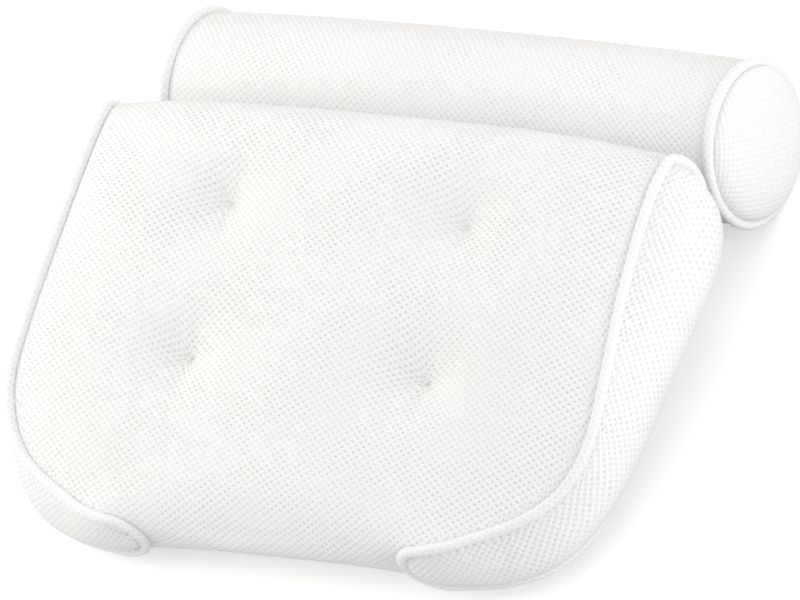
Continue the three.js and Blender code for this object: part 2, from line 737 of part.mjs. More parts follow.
function rollPiping() {
  const ring = Array.from({ length: pipingSides }, (_, i) => {
    const angle = 2 * Math.PI * i / pipingSides;
    return [
      rollSeamRadius + pipingRadius * Math.cos(angle),
      rollHalfLength + pipingRadius * Math.sin(angle),
    ];
  });
  return rollTurned([...ring, ring[0]]);
}

// Web of cover cloth that joins the cushion's hem to the roll

function hingeWeb() {
  const hem = hemLine.clone().applyMatrix4(cushion.matrixWorld);
  const towards = rollCentre.clone().sub(hem).normalize();
  const square = V(0, -towards.z, towards.y).multiplyScalar(webThickness / 2);
  const columns = bothWays(webPlaceShares.map((share) => webHalfLength * share));
  const root = hem.clone().addScaledVector(towards, -webTuckDepth);
  const rows = webRowShares.map((share) => columns.map((x) => {
    const edge = rollSeamRadius + rollCrownAt(x) + fitGap;
    const end = rollCentre.clone().addScaledVector(towards, -edge);
    return root.clone().lerp(end, share).setX(x);
  }));
  const moved = (sign) => rows.map((row) => row.map((p) => p.clone().addScaledVector(square, sign)));
  return sheetSolid(moved(-1), moved(1));
}

// Assembly

const pillow = new THREE.Group();
const roll = new THREE.Group();
roll.position.copy(rollCentre);
pillow.add(cushion, roll);

function addPiece(group, name, geometry, finish, place = V(0, 0, 0)) {
  const piece = new THREE.Mesh(geometry, new THREE.MeshStandardMaterial(finishes[finish]));
  piece.name = name;
  piece.position.copy(place);
  group.add(piece);
}

addPiece(cushion, 'cushion_core', cushionCore(), 'fill');
addPiece(cushion, 'cushion_wrap', cushionWrap(), 'cover');
addPiece(cushion, 'cushion_back_panel', cushionBackPanel(), 'cover');
tuftPlaces().forEach(({ name, place, top }) => {
  addPiece(cushion, `tuft_tie_${name}`, tieForm(top), 'thread', place);
});
cupPlaces.forEach(({ name, place }) => {
  addPiece(cushion, `cup_tab_${name}`, cupTab(), 'tab', place);
  addPiece(cushion, `suction_cup_${name}`, suctionCup(), 'cup', place);
});
addPiece(roll, 'roll_core', rollCore(), 'fill');
addPiece(roll, 'roll_wrap', rollWrap(), 'cover');
[['left', -1], ['right', 1]].forEach(([side, sign]) => {
  addPiece(cushion, `cushion_gusset_${side}`, cushionGusset(sign), 'cover');
  addPiece(cushion, `cushion_piping_${side}`, cushionPiping(sign), 'cover');
  const turnRound = (geometry) => (sign > 0 ? geometry : geometry.rotateZ(Math.PI));
  addPiece(roll, `roll_end_${side}`, turnRound(rollEnd()), 'cover');
  addPiece(roll, `roll_piping_${side}`, turnRound(rollPiping()), 'cover');
});
addPiece(pillow, 'hinge_web', hingeWeb(), 'cover');

// The origin is on the surface, under the middle of the whole pillow
pillow.updateMatrixWorld(true);
const extent = new THREE.Box3().setFromObject(pillow, true);
pillow.position.y = -(extent.min.y + extent.max.y) / 2;

export default pillow;
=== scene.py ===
import math
from bisect import bisect
import bmesh
import bpy
from mathutils import Matrix, Vector
from mathutils.geometry import intersect_point_line
from mathutils.bvhtree import BVHTree
from mathutils.kdtree import KDTree


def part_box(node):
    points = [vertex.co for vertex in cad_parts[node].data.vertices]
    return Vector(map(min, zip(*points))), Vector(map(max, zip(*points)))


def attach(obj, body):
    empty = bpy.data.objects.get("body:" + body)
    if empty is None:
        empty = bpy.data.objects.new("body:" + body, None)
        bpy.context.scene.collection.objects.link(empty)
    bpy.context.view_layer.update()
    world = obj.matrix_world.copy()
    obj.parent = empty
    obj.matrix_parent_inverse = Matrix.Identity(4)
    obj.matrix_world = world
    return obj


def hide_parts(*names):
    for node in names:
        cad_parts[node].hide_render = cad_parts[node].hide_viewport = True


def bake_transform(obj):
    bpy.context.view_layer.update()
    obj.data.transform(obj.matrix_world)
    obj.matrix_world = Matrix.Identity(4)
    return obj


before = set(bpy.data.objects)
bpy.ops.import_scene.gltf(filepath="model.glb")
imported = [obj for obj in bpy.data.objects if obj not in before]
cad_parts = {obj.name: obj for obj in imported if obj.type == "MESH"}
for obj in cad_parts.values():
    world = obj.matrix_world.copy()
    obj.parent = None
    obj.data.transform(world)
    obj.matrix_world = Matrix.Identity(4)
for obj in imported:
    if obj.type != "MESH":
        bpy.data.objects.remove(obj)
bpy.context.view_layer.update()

scene = bpy.context.scene

# Camera: a long lens, leaning over with the pillow

cameraSetup = {
    "rightWay": (0.831, 0.402, -0.384),
    "downWay": (0.083, -0.773, -0.629),
    "picture": (800, 600),
    "seen": (0.0, 0.06047, 0.10761),  # middle of the cushion's top edge
    "seenAt": (388.4, 132.9),         # its place in the picture
    "pixelsPerMetre": 1893,
    "away": 14.0, "sensor": 36, "seesTo": 100,
}


def makeCamera(setup):
    wide, high = setup["picture"]
    right = Vector(setup["rightWay"]).normalized()
    down = Vector(setup["downWay"])
    down = (down - right * down.dot(right)).normalized()
    back = right.cross(-down)
    aim = Vector(setup["seen"])
    aim += right * (wide / 2 - setup["seenAt"][0]) / setup["pixelsPerMetre"]
    aim += down * (high / 2 - setup["seenAt"][1]) / setup["pixelsPerMetre"]
    camera = bpy.data.objects.new("camera", bpy.data.cameras.new("camera"))
    camera.data.sensor_width = setup["sensor"]
    camera.data.lens = setup["pixelsPerMetre"] * setup["away"] * setup["sensor"] / wide
    camera.data.clip_end = setup["seesTo"]
    turn = Matrix((right, -down, back)).transposed().to_4x4()
    camera.matrix_world = Matrix.Translation(aim + back * setup["away"]) @ turn
    scene.collection.objects.link(camera)
    scene.camera = camera


makeCamera(cameraSetup)
print("camera set")

# Light and floor

lightSetup = {
    "world": (1.0, 0.988, 0.972), "worldStrength": 0.82,
    "left": {"from": (-1.15, -0.38, 0.7), "size": 0.8, "power": 6.9, "colour": (1, 0.99, 0.975)},
    "right": {"from": (1.5, -0.02, 0.36), "size": 1.0, "power": 8.5, "colour": (0.91, 0.95, 1.0)},
    "rear": {"from": (-0.1, 1.0, 1.2), "size": 1.2, "power": 3.7, "colour": (1, 0.99, 0.98)},
}


def makeLight(name, setup):
    lamp = bpy.data.lights.new(name, "AREA")
    lamp.shape = "DISK"
    lamp.size = setup["size"]
    lamp.energy = setup["power"]
    lamp.color = setup["colour"]
    light = bpy.data.objects.new(name, lamp)
    light.location = setup["from"]
    light.rotation_euler = (-Vector(setup["from"])).to_track_quat("-Z", "Y").to_euler()
    scene.collection.objects.link(light)


# White to the camera, to reflections and through clear pieces; the object's light has its own tone
def makeWorld(setup):
    world = bpy.data.worlds.new("studio")
    scene.world = world
    world.use_nodes = True
    nodes, links = world.node_tree.nodes, world.node_tree.links
    nodes.clear()
    path = nodes.new("ShaderNodeLightPath")
    dome = nodes.new("ShaderNodeBackground")
    dome.inputs["Color"].default_value = (*setup["world"], 1)
    dome.inputs["Strength"].default_value = setup["worldStrength"]
    white = nodes.new("ShaderNodeBackground")
    white.inputs["Color"].default_value = (1, 1, 1, 1)
    seen = nodes.new("ShaderNodeMath")
    seen.operation = "MAXIMUM"
    both = nodes.new("ShaderNodeMath")
    both.operation = "MAXIMUM"
    mixed = nodes.new("ShaderNodeMixShader")
    out = nodes.new("ShaderNodeOutputWorld")
    links.new(path.outputs["Is Camera Ray"], seen.inputs[0])
    links.new(path.outputs["Is Glossy Ray"], seen.inputs[1])
    links.new(seen.outputs[0], both.inputs[0])
    links.new(path.outputs["Is Transmission Ray"], both.inputs[1])
    links.new(both.outputs[0], mixed.inputs[0])
    links.new(dome.outputs[0], mixed.inputs[1])
    links.new(white.outputs[0], mixed.inputs[2])
    links.new(mixed.outputs[0], out.inputs[0])


for place in ("left", "right", "rear"):
    makeLight("lamp." + place, lightSetup[place])
makeWorld(lightSetup)
scene.view_settings.view_transform = "Standard"
print("lights set")

# Node groups and materials


def newGroup(name, inputs, outputs):
    group = bpy.data.node_groups.new(name, "ShaderNodeTree")
    for label, kind, value in inputs:
        socket = group.interface.new_socket(label, in_out="INPUT", socket_type="NodeSocket" + kind)
        if value is not None:
            socket.default_value = value
    for label, kind in outputs:
        group.interface.new_socket(label, in_out="OUTPUT", socket_type="NodeSocket" + kind)
    return group, group.nodes.new("NodeGroupInput"), group.nodes.new("NodeGroupOutput")


def mathNode(tree, operation, first, second=None):
    node = tree.nodes.new("ShaderNodeMath")
    node.operation = operation
    for place, value in enumerate((first, second)):
        if value is None:
            continue
        if isinstance(value, (int, float)):
            node.inputs[place].default_value = value
        else:
            tree.links.new(value, node.inputs[place])
    return node.outputs[0]


def rangeNode(tree, value, low, high, outLow=0.0, outHigh=1.0):
    node = tree.nodes.new("ShaderNodeMapRange")
    node.interpolation_type = "SMOOTHSTEP"
    tree.links.new(value, node.inputs["Value"])
    for label, number in (("From Min", low), ("From Max", high), ("To Min", outLow), ("To Max", outHigh)):
        if isinstance(number, (int, float)):
            node.inputs[label].default_value = number
        else:
            tree.links.new(number, node.inputs[label])
    return node.outputs["Result"]


def noiseNode(tree, way, scale, detail=2.0):
    node = tree.nodes.new("ShaderNodeTexNoise")
    node.inputs["Scale"].default_value = scale
    node.inputs["Detail"].default_value = detail
    tree.links.new(way, node.inputs["Vector"])
    return node.outputs["Fac"]


airSetup = {
    "wobbleScale": 90.0, "askew": 0.1, "rowDepth": 0.18, "rim": 0.38,
    "weakestHole": 0.6, "weakestPatch": 0.55, "fadingScale": 22.0, "fibreScale": 1500.0, "fibreDepth": 0.12,
    "plyAcross": 3.0, "plyAlong": 2.0, "plyDepth": 0.09,
}


# Air mesh: staggered holes between rounded strands of yarn
def makeAirMesh():
    s = airSetup
    group, enter, leave = newGroup(
        "airMesh",
        [("Way", "Vector", None), ("Across", "Float", 0.0043), ("Along", "Float", 0.0042),
         ("Opening", "Float", 0.3), ("Unevenness", "Float", 0.3), ("Slant", "Float", 0.42)],
        [("Holes", "Float"), ("Height", "Float")],
    )
    parts = group.nodes.new("ShaderNodeSeparateXYZ")
    group.links.new(enter.outputs["Way"], parts.inputs[0])
    wobble = noiseNode(group, enter.outputs["Way"], s["wobbleScale"], 2.0)
    wobble = mathNode(group, "SUBTRACT", wobble, 0.5)
    wobble = mathNode(group, "MULTIPLY", wobble, enter.outputs["Unevenness"])
    across = mathNode(group, "DIVIDE", parts.outputs[0], enter.outputs["Across"])
    along = mathNode(group, "DIVIDE", parts.outputs[1], enter.outputs["Along"])
    acrossTurn = mathNode(group, "MULTIPLY", mathNode(group, "ADD", across, wobble), math.tau)
    alongTurn = mathNode(group, "MULTIPLY", mathNode(group, "SUBTRACT", along, wobble), math.tau)
    # the cloth is pulled askew, and one slant of its strands shows more than the other
    alongTurn = mathNode(group, "SUBTRACT", alongTurn, mathNode(group, "MULTIPLY", acrossTurn, s["askew"]))
    rising = mathNode(group, "COSINE", mathNode(group, "ADD", acrossTurn, alongTurn))
    falling = mathNode(group, "COSINE", mathNode(group, "SUBTRACT", alongTurn, acrossTurn))
    slants = mathNode(group, "ADD", falling, mathNode(
        group, "MULTIPLY", enter.outputs["Slant"], mathNode(group, "SUBTRACT", rising, falling)))
    rows = mathNode(group, "COSINE", mathNode(group, "MULTIPLY", alongTurn, 2.0))
    rows = mathNode(group, "MULTIPLY", mathNode(group, "SUBTRACT", rows, 1.0), s["rowDepth"])
    lattice = mathNode(group, "ADD", slants, rows)
    # each hole has its own strength, and the openings close up in places
    cell = group.nodes.new("ShaderNodeCombineXYZ")
    for socket, operation in enumerate(("ADD", "SUBTRACT")):
        turns = mathNode(group, "DIVIDE", mathNode(group, operation, acrossTurn, alongTurn), math.tau)
        group.links.new(mathNode(group, "ROUND", turns), cell.inputs[socket])
    chance = group.nodes.new("ShaderNodeTexWhiteNoise")
    chance.noise_dimensions = "2D"
    group.links.new(cell.outputs[0], chance.inputs["Vector"])
    own = rangeNode(group, chance.outputs["Value"], 0.0, 1.0, s["weakestHole"], 1.0)
    fading = noiseNode(group, enter.outputs["Way"], s["fadingScale"], 3.0)
    fading = rangeNode(group, fading, 0.35, 0.65, s["weakestPatch"], 1.0)
    fibre = noiseNode(group, enter.outputs["Way"], s["fibreScale"], 2.0)
    fibre = rangeNode(group, fibre, 0.3, 0.7, 0.0, s["fibreDepth"])
    top = mathNode(group, "ADD", enter.outputs["Opening"], s["rim"])
    holes = rangeNode(group, lattice, enter.outputs["Opening"], top)
    holes = mathNode(group, "MULTIPLY", holes, mathNode(group, "MULTIPLY", own, fading))
    holes = mathNode(group, "ADD", holes, fibre)
    # plied yarn: fine ridges that run slantwise along the strands
    slant = mathNode(group, "ADD", mathNode(group, "MULTIPLY", acrossTurn, s["plyAcross"]),
                     mathNode(group, "MULTIPLY", alongTurn, s["plyAlong"]))
    ply = mathNode(group, "MULTIPLY", mathNode(group, "SINE", slant), s["plyDepth"])
    strands = rangeNode(group, lattice, -1.0, top, 1.0, 0.0)
    height = mathNode(group, "ADD", strands, ply)
    group.links.new(holes, leave.inputs["Holes"])
    group.links.new(height, leave.inputs["Height"])
    return group


airMesh = makeAirMesh()


def newMaterial(name):
    material = bpy.data.materials.new(name)
    material.use_nodes = True
    return material, material.node_tree, material.node_tree.nodes["Principled BSDF"]


def mixColours(tree, share, first, second):
    node = tree.nodes.new("ShaderNodeMix")
    node.data_type = "RGBA"
    tree.links.new(share, node.inputs["Factor"])
    for place, value in ((6, first), (7, second)):
        if isinstance(value, tuple):
            node.inputs[place].default_value = (*value, 1)
        else:
            tree.links.new(value, node.inputs[place])
    return node.outputs[2]


# Mesh cloth: size of its cells in metres, colours of yarn and holes
def meshCloth(name, across, along, opening, yarn, hole, depth=0.0005, slant=0.42):
    material, tree, shader = newMaterial(name)
    way = tree.nodes.new("ShaderNodeUVMap")
    way.uv_map = "clothWay"
    cloth = tree.nodes.new("ShaderNodeGroup")
    cloth.node_tree = airMesh
    tree.links.new(way.outputs[0], cloth.inputs["Way"])
    for label, value in (("Across", across), ("Along", along), ("Opening", opening), ("Slant", slant)):
        cloth.inputs[label].default_value = value
    place = tree.nodes.new("ShaderNodeTexCoord")
    patches = rangeNode(tree, noiseNode(tree, place.outputs["Object"], 14.0, 3.0), 0.3, 0.7)
    yarnColour = mixColours(tree, patches, yarn, tuple(part * 0.975 for part in yarn))
    colour = mixColours(tree, cloth.outputs["Holes"], yarnColour, hole)
    tree.links.new(colour, shader.inputs["Base Color"])
    rough = rangeNode(tree, cloth.outputs["Height"], 0.0, 1.0, 0.95, 0.72)
    tree.links.new(rough, shader.inputs["Roughness"])
    bump = tree.nodes.new("ShaderNodeBump")
    bump.inputs["Distance"].default_value = depth
    bump.inputs["Strength"].default_value = 0.75
    tree.links.new(cloth.outputs["Height"], bump.inputs["Height"])
    tree.links.new(bump.outputs[0], shader.inputs["Normal"])
    shader.inputs["Specular IOR Level"].default_value = 0.25
    shader.inputs["Sheen Weight"].default_value = 0.15
    shader.inputs["Sheen Roughness"].default_value = 0.5
    return material


white = (0.9, 0.895, 0.89)
faceMesh = meshCloth("faceMesh", 0.0051, 0.00395, 0.28, white, (0.63, 0.625, 0.62))
sideMesh = meshCloth("sideMesh", 0.0043, 0.0042, 0.26, white, (0.67, 0.67, 0.68), slant=0.7)
endMesh = meshCloth("endMesh", 0.0043, 0.0042, 0.3, white, (0.8, 0.8, 0.81))
rollMesh = meshCloth("rollMesh", 0.0043, 0.00425, 0.28, white, (0.7, 0.695, 0.69))
pipingMesh = meshCloth("pipingMesh", 0.0036, 0.00393, 0.3, white, (0.76, 0.76, 0.76), 0.0003)


# Fine twill, for the tabs and the ties
def ribbonCloth(name, colour):
    material, tree, shader = newMaterial(name)
    place = tree.nodes.new("ShaderNodeTexCoord")
    skewed = tree.nodes.new("ShaderNodeMapping")
    skewed.inputs["Rotation"].default_value = (math.radians(9), 0, math.radians(45))
    tree.links.new(place.outputs["Object"], skewed.inputs[0])
    weave = tree.nodes.new("ShaderNodeTexWave")
    weave.inputs["Scale"].default_value = 260.0
    weave.inputs["Distortion"].default_value = 1.5
    tree.links.new(skewed.outputs[0], weave.inputs[0])
    valley = tuple(part * 0.86 for part in colour)
    tree.links.new(mixColours(tree, weave.outputs["Fac"], valley, colour), shader.inputs["Base Color"])
    bump = tree.nodes.new("ShaderNodeBump")
    bump.inputs["Distance"].default_value = 0.0002
    tree.links.new(weave.outputs["Fac"], bump.inputs["Height"])
    tree.links.new(bump.outputs[0], shader.inputs["Normal"])
    shader.inputs["Roughness"].default_value = 0.8
    return material


# Clouded soft vinyl
def cupVinyl():
    material, tree, shader = newMaterial("cupVinyl")
    place = tree.nodes.new("ShaderNodeTexCoord")
    clouds = noiseNode(tree, place.outputs["Object"], 160.0, 3.0)
    colour = mixColours(tree, clouds, (0.82, 0.85, 0.855), (0.9, 0.915, 0.92))
    tree.links.new(colour, shader.inputs["Base Color"])
    tree.links.new(rangeNode(tree, clouds, 0.3, 0.7, 0.14, 0.26), shader.inputs["Roughness"])
    shader.inputs["IOR"].default_value = 1.5
    shader.inputs["Subsurface Weight"].default_value = 0.5
    shader.inputs["Subsurface Scale"].default_value = 0.004
    shader.inputs["Transmission Weight"].default_value = 0.12
    return material


tabCloth = ribbonCloth("tabCloth", (0.84, 0.84, 0.83))
tieThread = ribbonCloth("tieThread", (0.9, 0.9, 0.88))
milkyVinyl = cupVinyl()
print("materials made")


# Floor, pale, with the pillow's soft shadow
def makeFloor():
    shape = bmesh.new()
    bmesh.ops.create_grid(shape, x_segments=8, y_segments=8, size=30)
    mesh = bpy.data.meshes.new("floor")
    shape.to_mesh(mesh)
    shape.free()
    floor = bpy.data.objects.new("floor", mesh)
    scene.collection.objects.link(floor)
    material, tree, shader = newMaterial("paleFloor")
    place = tree.nodes.new("ShaderNodeTexCoord")
    grain = rangeNode(tree, noiseNode(tree, place.outputs["Object"], 3.0, 4.0), 0.3, 0.7)
    tree.links.new(mixColours(tree, grain, (0.7, 0.7, 0.7), (0.72, 0.72, 0.72)), shader.inputs["Base Color"])
    shader.inputs["Roughness"].default_value = 0.9
    shader.inputs["Specular IOR Level"].default_value = 0.1
    path = tree.nodes.new("ShaderNodeLightPath")
    lift = mathNode(tree, "MULTIPLY", path.outputs["Is Camera Ray"], 0.5)
    shader.inputs["Emission Color"].default_value = (1, 1, 1, 1)
    tree.links.new(lift, shader.inputs["Emission Strength"])
    mesh.materials.append(material)


makeFloor()
print("floor laid")

# Shared steps

sameSpot = 1e-6   # places closer together than this are one


def cadCopy(node):
    shape = bmesh.new()
    shape.from_mesh(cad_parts[node].data)
    bmesh.ops.remove_doubles(shape, verts=shape.verts, dist=sameSpot)
    return shape


def smoothObject(name, shape, materials):
    bmesh.ops.recalc_face_normals(shape, faces=shape.faces)
    mesh = bpy.data.meshes.new(name)
    shape.to_mesh(mesh)
    shape.free()
    for material in materials:
        mesh.materials.append(material)
    mesh.shade_smooth()
    piece = bpy.data.objects.new(name, mesh)
    scene.collection.objects.link(piece)
    return piece


def subdivided(piece, levels):
    finer = piece.modifiers.new("finer", "SUBSURF")
    finer.levels = levels
    finer.render_levels = levels


# A line turned a full circle about an axis
def turned(points, steps, centre=(0, 0, 0), axis=(0, 0, 1)):
    shape = bmesh.new()
    verts = [shape.verts.new(place) for place in points]
    edges = [shape.edges.new(pair) for pair in zip(verts, verts[1:])]
    bmesh.ops.spin(shape, geom=verts + edges, cent=centre, axis=axis, angle=math.tau,
                   steps=steps, use_merge=True)
    bmesh.ops.remove_doubles(shape, verts=shape.verts, dist=sameSpot)
    return shape


def treeOf(places):
    tree = KDTree(len(places))
    for index, place in enumerate(places):
        tree.insert(place, index)
    tree.balance()
    return tree


# Replace a piece's mesh by what its modifiers make of it
def applied(piece):
    graph = bpy.context.evaluated_depsgraph_get()
    mesh = bpy.data.meshes.new_from_object(piece.evaluated_get(graph), preserve_all_data_layers=True,
                                           depsgraph=graph)
    piece.modifiers.clear()
    piece.data = mesh


# Cloth under pressure, held along its seams, that moves no further than the given reach
def swell(piece, held, setup):
    start = [v.co.copy() for v in piece.data.vertices]
    outward = [v.normal.copy() for v in piece.data.vertices]
    pins = piece.vertex_groups.new(name="held")
    for index, share in held.items():
        pins.add([index], share, "REPLACE")
    modifier = piece.modifiers.new("swell", "CLOTH")
    cloth = modifier.settings
    cloth.quality = setup["quality"]
    cloth.mass = 0.3
    cloth.tension_stiffness = setup["stiffness"]
    cloth.compression_stiffness = setup["stiffness"]
    cloth.shear_stiffness = setup["stiffness"] / 3
    cloth.bending_stiffness = setup["bending"]
    cloth.use_pressure = True
    cloth.uniform_pressure_force = setup["pressure"]
    cloth.effector_weights.gravity = 0
    cloth.vertex_group_mass = "held"
    cloth.shrink_min = setup["slack"]
    modifier.collision_settings.use_collision = False
    modifier.point_cache.frame_start = 1
    modifier.point_cache.frame_end = setup["steps"]
    for step in range(1, setup["steps"] + 1):
        scene.frame_set(step)
    seen = piece.evaluated_get(bpy.context.evaluated_depsgraph_get())
    moved = [v.co.copy() for v in seen.data.vertices]
    piece.modifiers.remove(modifier)
    piece.vertex_groups.remove(pins)
    scene.frame_set(1)
    furthest = 0.0
    swollen = 0.0
    for vertex, before, after, out in zip(piece.data.vertices, start, moved, outward):
        way = after - before
        furthest = max(furthest, way.length)
        swollen += way.dot(out) / len(start)
        if way.length > 1e-9:
            way *= setup["reach"] * math.tanh(way.length / setup["reach"]) / way.length
        vertex.co = before + way
    piece.data.update()
    print(piece.name, "swelled", round(swollen * 1000, 2), "mm on average, up to",
          round(furthest * 1000, 1), "mm")


# Distance off a broken line, and along it to the nearest place on it
def alongLine(line, y, z):
    best = (1e9, 0.0)
    run = 0.0
    for (y0, z0), (y1, z1) in zip(line, line[1:]):
        length = math.hypot(y1 - y0, z1 - z0)
        share = ((y - y0) * (y1 - y0) + (z - z0) * (z1 - z0)) / length ** 2
        share = min(1.0, max(0.0, share))
        off = math.hypot(y0 + (y1 - y0) * share - y, z0 + (z1 - z0) * share - z)
        best = min(best, (off, run + length * share))
        run += length
    return best


# Piping, a covered cord

pipingSetup = {
    "radius": 0.0029, "sides": 16, "points": 288, "spread": 6, "proud": 0.0008,
    "ringEdge": 0.0024,      # edges of the solid's rings are shorter than this
    "cell": 0.0036, "girthRadius": 0.0025,   # of its mesh cloth
}


# Middle line of a solid piping, from the rings of its mesh
def pipingRings(node):
    shape = cadCopy(node)
    shape.verts.ensure_lookup_table()
    left = set(range(len(shape.verts)))
    rings = {}
    owner = {}
    while left:
        first = min(left)
        ring = {first}
        todo = [first]
        while todo:
            vertex = shape.verts[todo.pop()]
            for edge in vertex.link_edges:
                other = edge.other_vert(vertex).index
                if other not in ring and edge.calc_length() < pipingSetup["ringEdge"]:
                    ring.add(other)
                    todo.append(other)
        left -= ring
        rings[first] = [shape.verts[i].co.copy() for i in ring]
        for i in ring:
            owner[i] = first
    beside = {name: set() for name in rings}
    for edge in shape.edges:
        a, b = (owner[v.index] for v in edge.verts)
        if a != b:
            beside[a].add(b)
            beside[b].add(a)
    shape.free()
    centres = {name: sum(ring, Vector()) / len(ring) for name, ring in rings.items()}
    start = next((name for name in sorted(beside) if len(beside[name]) == 1), min(beside))
    way = [start]
    while True:
        onward = [name for name in sorted(beside[way[-1]]) if name not in way]
        if not onward:
            break
        way.append(min(onward, key=lambda name: (centres[name] - centres[way[-1]]).length))
    line = [centres[name] for name in way]
    if (line[0] - line[-1]).length < pipingSetup["ringEdge"]:
        line.pop()
    return line


# Smooth closed curve through the points
def closedCurve(points, count):
    size = len(points)
    line = []
    for i in range(count):
        place = i * size / count
        j = int(place)
        t = place - j
        a, b, c, d = (points[(j + k) % size] for k in (-1, 0, 1, 2))
        line.append(0.5 * (2 * b + (c - a) * t + (2 * a - 5 * b + 4 * c - d) * t * t
                           + (3 * b - a - 3 * c + d) * t ** 3))
    return line


# Tube along a solid piping, set proud of the fill; returns the line of the seam below it
def pipingTube(name, node, body, fillNode):
    s = pipingSetup
    count, sides, spread = s["points"], s["sides"], s["spread"]
    seam = closedCurve(pipingRings(node), count)
    fillShape = cadCopy(fillNode)
    fill = BVHTree.FromBMesh(fillShape)
    fillShape.free()
    away = [(place - fill.find_nearest(place)[0]).normalized() for place in seam]
    outward = [sum((away[(i + k) % count] for k in range(-spread, spread + 1)), Vector()).normalized()
               for i in range(count)]
    line = [place + out * s["proud"] for place, out in zip(seam, outward)]
    runs = [0.0]
    for i in range(count):
        runs.append(runs[-1] + (line[(i + 1) % count] - line[i]).length)
    scale = round(runs[-1] / s["cell"]) * s["cell"] / runs[-1]   # a whole number of cells
    shape = bmesh.new()
    cover = shape.loops.layers.uv.new("clothWay")
    rings = []
    for i, centre in enumerate(line):
        ahead = (line[(i + 1) % count] - line[i - 1]).normalized()
        out = (outward[i] - ahead * outward[i].dot(ahead)).normalized()
        side = ahead.cross(out)
        rings.append([
            shape.verts.new(centre + s["radius"] * (
                out * math.cos(math.tau * j / sides) + side * math.sin(math.tau * j / sides)))
            for j in range(sides)
        ])
    girth = math.tau * s["girthRadius"]
    for i in range(count):
        for j in range(sides):
            corners = [(i, j), (i + 1, j), (i + 1, j + 1), (i, j + 1)]
            face = shape.faces.new([rings[a % count][b % sides] for a, b in corners])
            for loop, (a, b) in zip(face.loops, corners):
                loop[cover].uv = (runs[a] * scale, girth * b / sides)
    piece = smoothObject(name, shape, [pipingMesh])
    subdivided(piece, 1)
    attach(piece, body)
    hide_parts(node)
    return seam


seamLines = {}
for side in ("left", "right"):
    node = "cushion_piping_" + side
    seamLines[side] = pipingTube("cushionPiping." + side, node, "back_cushion", "cushion_core")
print("cushion piping sewn")

# Back cushion

cushionSetup = {
    "origin": (0.0, 0.0707, 0.04302), "turn": 9.0,   # the cushion's own frame: along it, y runs to the head
    "panels": ["cushion_wrap", "cushion_back_panel", "cushion_gusset_left", "cushion_gusset_right"],
    # places of the panels' cloth, and of the seam strips', among the cover's materials
    "wrapSlot": 0, "backSlot": 1, "gussetSlots": (2, 3), "seamSlot": 4,
    "outerSide": 0.0016,   # cover vertices further than this from the fill are outside
    "panelGap": 0.0007,    # the wrap and the back panel are sewn over this gap
    "faceLow": 0.03,       # the face lies above this height, the underside below it
    # seams: depth below the middle of the piping, and how far the cloth is drawn to it, tucked in,
    # held in the simulation and free to swell
    "seamDrop": 0.0004, "seamReach": 0.014,
    "seamTuck": 0.0004, "seamTuckReach": 0.007,
    "heldReach": 0.006, "heldFull": 0.0045, "heldFade": 0.0015,
    "freeFrom": 0.003, "freeOver": 0.012,
    # tufts: their places, the finer faces, the pull on the cloth, the pit, the hollow and the folds
    "tufts": [(-0.077, -0.053), (0.073, -0.053), (-0.077, -0.138), (0.073, -0.138)],
    "tuftSpot": 0.004, "tuftFine": 0.024, "tuftCuts": 3,
    "tuftPull": 0.0048, "tuftPullReach": 0.018,
    "tuftDepth": 0.0046, "tuftReach": 0.011, "tuftRound": 0.0065,
    "hollowDepth": 0.0045, "hollowReach": 0.024, "hollowEnd": 2.2,
    "tuftFolds": 7, "tuftFoldDepth": 0.0003, "tuftFoldReach": 1.5, "tuftFoldSkew": 9,
    # the hem: where it is looked for, and the reach within which it is drawn to the web
    "hemBack": -0.02, "hemHeight": 0.01, "hemAlong": 0.9,
    "hemReach": 0.014, "hemHalf": 0.158, "hemInset": 0.001, "hemShare": 1.3,
    # fuller shoulders at both sides, and a fuller upper edge
    "shoulder": (0.18, -0.022, 0.048), "shoulderFrom": 0.165,
    "shoulderSwell": 0.009, "shoulderReach": 0.052,
    "topSwell": 0.006, "topMiddle": -0.03, "topReach": 0.04, "topHalf": 0.18,
    "swell": {"quality": 6, "stiffness": 12, "bending": 0.4, "pressure": 4.0, "slack": 0.0, "steps": 20,
              "reach": 0.005},
    # middle line of the cover, from high on the back wall, down the face and along the underside;
    # the cloth is measured from the seam between wrap and back panel, the line's second point
    "faceWay": [(0.0125, 0.0552), (0.0064, 0.074), (0.0036, 0.0756), (-0.0054, 0.0789), (-0.026, 0.0802),
                (-0.0466, 0.0797), (-0.0877, 0.0754), (-0.1283, 0.0682), (-0.1611, 0.0614), (-0.1912, 0.0539),
                (-0.2184, 0.0461), (-0.2294, 0.0396), (-0.234, 0.0305), (-0.235, 0.0255),
                (-0.2341, 0.0209), (-0.2301, 0.0121), (-0.2202, 0.0056), (-0.2087, 0.0022),
                (-0.1945, 0.0), (-0.0113, 0.0)],
    "backWay": [(0.0036, 0.0756), (0.0064, 0.074), (0.0125, 0.0552), (0.0137, 0.0357), (0.0092, 0.0167),
                (-0.0034, 0.0024)],
    # side gusset seen from above, from the head end round the front corner
    "sideWay": [(0.178, 0.01), (0.181, -0.08), (0.187, -0.14), (0.184, -0.175), (0.172, -0.2),
                (0.152, -0.218), (0.128, -0.229), (0.08, -0.237)],
    # half the gusset's height at the back wall, its fall along the cushion, the share of the half over
    # which the measure changes from the lower piping's to the upper's, and the cells' squeeze
    "sideHalf": 0.0415, "sideFall": 0.085, "sideBlend": 1.5, "sideSqueeze": 1.12,
    # shares of a half above and below which a piping counts as upper and lower, in front and at the back
    "sideParts": (1.2, 0.8), "backParts": (1.6, 0.3), "backFrom": -0.004,
    "stripTurn": 0.1,   # further out than this, a seam strip is laid like the gusset
}
cushionTurn = Matrix.Translation(cushionSetup["origin"]) @ Matrix.Rotation(
    math.radians(cushionSetup["turn"]), 4, "X")
cushionBack = cushionTurn.inverted()


